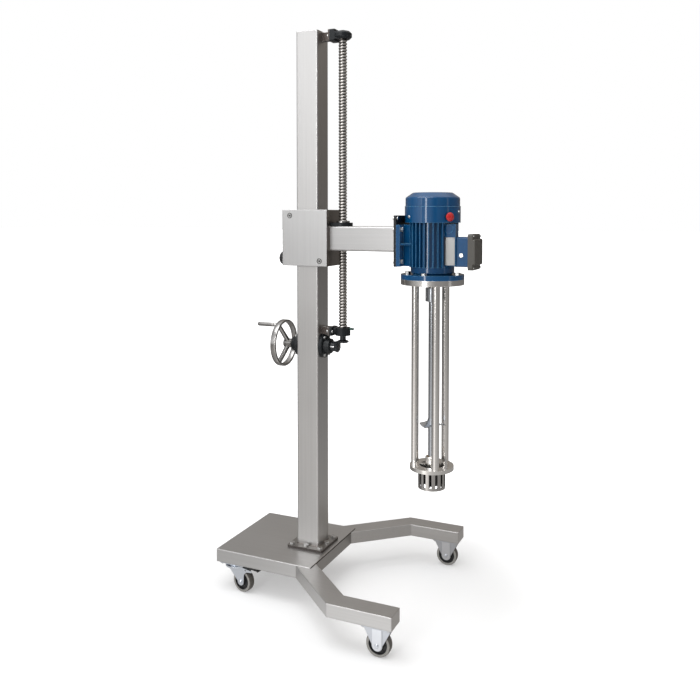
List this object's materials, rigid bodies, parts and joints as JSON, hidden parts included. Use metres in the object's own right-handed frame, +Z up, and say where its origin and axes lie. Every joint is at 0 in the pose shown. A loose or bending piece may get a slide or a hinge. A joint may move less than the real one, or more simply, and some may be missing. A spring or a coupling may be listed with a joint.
{
  "type": "high shear mixer",
  "caption": "High shear mixer on a wheeled stand: square column, hand-cranked lead screw lift, arm, flanged motor, and a slotted rotor-stator head hung on three rods.",
  "frame": {"origin": "on the floor, under the middle of the whole machine's length and width", "axes": "+X from the column along the arm to the motor, +Y across the stand away from the stop button, +Z up"},
  "size_m": [0.85, 0.714, 1.87],
  "materials": {
    "stainless_brushed": "brushed, warm grey",
    "stainless_polished": "polished",
    "stainless_bolts": "bright machined",
    "zinc_plate": "bright zinc plated",
    "tyre_grey": "grey tread on a black hub",
    "black_plastic": "moulded, satin",
    "black_cast": "black oxide, satin",
    "turned_steel": "turned",
    "nylon": "plain",
    "blue_paint": "gloss paint",
    "olive_paint": "satin paint",
    "plate_silver": "bare, satin",
    "red_plastic": "gloss",
    "bronze": "turned bronze"
  },
  "bodies": {
    "stand": {"deck": "stainless_brushed", "leg_near": "stainless_brushed", "leg_far": "stainless_brushed", "foot_plate": "stainless_brushed", "column": "stainless_brushed", "base_bolts": "stainless_bolts", "fixed_forks": "zinc_plate", "front_axles": "zinc_plate", "swivel_plates": "zinc_plate", "crank_bearing_screw_side": "black_cast", "crank_bearing_wheel_side": "black_cast", "bracket_spacers": "stainless_polished", "top_bracket": "black_cast", "bottom_bracket": "black_cast", "frame_bolts": "stainless_bolts"},
    "carriage": {"carriage_box": "stainless_brushed", "guide_pads": "nylon", "roller_pins": "stainless_bolts", "arm": "stainless_brushed", "nut_plate": "black_cast", "lift_nut": "turned_steel", "arm_end_plate": "black_cast", "motor_bolts": "stainless_bolts", "motor_housing": "blue_paint", "rear_end_shield": "blue_paint", "fan_cowl": "blue_paint", "button_collar": "black_plastic", "terminal_box": "blue_paint", "terminal_lid": "olive_paint", "cable_entries": "nylon", "nameplate": "plate_silver", "adapter_flange": "stainless_polished", "head_rods": "stainless_polished", "head_ring": "stainless_polished", "bush": "bronze", "stator": "stainless_polished"},
    "spindle": {"motor_rotor": "turned_steel", "cooling_fan": "nylon", "coupling": "stainless_polished", "drive_shaft": "stainless_polished", "propeller": "stainless_polished", "rotor_head": "stainless_polished"},
    "screw": {"lead_screw": "turned_steel", "screw_gear": "black_cast"},
    "crank": {"cross_shaft": "turned_steel", "crank_gear": "black_cast", "handwheel": "turned_steel"},
    "grip": {"handle_grip": "turned_steel"},
    "upper_roller": {"guide_roller_upper": "nylon"},
    "lower_roller": {"guide_roller_lower": "nylon"},
    "knob": {"lock_knob": "black_plastic"},
    "button": {"stop_button": "red_plastic"},
    "caster_near": {"swivel_fork_near": "zinc_plate"},
    "caster_far": {"swivel_fork_far": "zinc_plate"},
    "pedal_near": {"brake_pedal_near": "black_plastic"},
    "pedal_far": {"brake_pedal_far": "black_plastic"},
    "rear_wheel_near": {"rear_wheel_near": "tyre_grey"},
    "rear_wheel_far": {"rear_wheel_far": "tyre_grey"},
    "front_wheel_near": {"front_wheel_near": "tyre_grey"},
    "front_wheel_far": {"front_wheel_far": "tyre_grey"}
  },
  "joints": [
    {"name": "lift", "type": "slide", "parent": "stand", "child": "carriage", "axis": [0, 0, 1], "range_m": [-0.18, 0.54]},
    {"name": "screw_turn", "type": "hinge", "parent": "stand", "child": "screw", "pos_m": [-0.037, 0, 0.82], "axis": [0, 0, 1], "range_deg": [-19500, 6500]},
    {"name": "crank_turn", "type": "hinge", "parent": "stand", "child": "crank", "pos_m": [-0.15, 0, 0.82], "axis": [1, 0, 0], "range_deg": [-19500, 6500]},
    {"name": "grip_turn", "type": "hinge", "parent": "crank", "child": "grip", "pos_m": [-0.3, -0.03775, 0.88538], "axis": [1, 0, 0], "continuous": true},
    {"name": "upper_roller_turn", "type": "hinge", "parent": "carriage", "child": "upper_roller", "pos_m": [-0.205, 0, 1.258], "axis": [0, 1, 0], "range_deg": [-750, 2200]},
    {"name": "lower_roller_turn", "type": "hinge", "parent": "carriage", "child": "lower_roller", "pos_m": [-0.095, 0, 1.108], "axis": [0, 1, 0], "range_deg": [-2200, 750]},
    {"name": "mixer_spin", "type": "hinge", "parent": "carriage", "child": "spindle", "pos_m": [0.275, 0, 1], "axis": [0, 0, 1], "continuous": true},
    {"name": "lock_knob_turn", "type": "hinge", "parent": "carriage", "child": "knob", "pos_m": [-0.25, 0, 1.113], "axis": [1, 0, 0], "range_deg": [-720, 100]},
    {"name": "stop_button_push", "type": "slide", "parent": "carriage", "child": "button", "axis": [-0.7716, 0.6361, 0], "range_m": [0, 0.004], "stiffness_N_per_m": 1500},
    {"name": "swivel_near", "type": "hinge", "parent": "stand", "child": "caster_near", "pos_m": [-0.368, -0.144, 0.085], "axis": [0, 0, 1], "continuous": true},
    {"name": "brake_pedal_near", "type": "hinge", "parent": "caster_near", "child": "pedal_near", "pos_m": [-0.31296, -0.1543, 0.08], "axis": [0.184, 0.9829, 0], "range_deg": [0, 12]},
    {"name": "rear_wheel_near_turn", "type": "hinge", "parent": "caster_near", "child": "rear_wheel_near", "pos_m": [-0.3336, -0.15044, 0.0375], "axis": [0.184, 0.9829, 0], "continuous": true},
    {"name": "front_wheel_near_turn", "type": "hinge", "parent": "stand", "child": "front_wheel_near", "pos_m": [0.228, -0.3245, 0.0375], "axis": [0, 1, 0], "continuous": true},
    {"name": "swivel_far", "type": "hinge", "parent": "stand", "child": "caster_far", "pos_m": [-0.368, 0.144, 0.085], "axis": [0, 0, 1], "continuous": true},
    {"name": "brake_pedal_far", "type": "hinge", "parent": "caster_far", "child": "pedal_far", "pos_m": [-0.31296, 0.1337, 0.08], "axis": [0.184, 0.9829, 0], "range_deg": [0, 12]},
    {"name": "rear_wheel_far_turn", "type": "hinge", "parent": "caster_far", "child": "rear_wheel_far", "pos_m": [-0.3336, 0.13756, 0.0375], "axis": [0.184, 0.9829, 0], "continuous": true},
    {"name": "front_wheel_far_turn", "type": "hinge", "parent": "stand", "child": "front_wheel_far", "pos_m": [0.228, 0.3245, 0.0375], "axis": [0, 1, 0], "continuous": true}
  ],
  "couplings": [
    {"joint": "screw_turn", "follows": "lift", "rad_per_m": -628.32},
    {"joint": "crank_turn", "follows": "lift", "rad_per_m": -628.32},
    {"joint": "upper_roller_turn", "follows": "lift", "rad_per_m": 68.027},
    {"joint": "lower_roller_turn", "follows": "lift", "rad_per_m": -68.027}
  ]
}
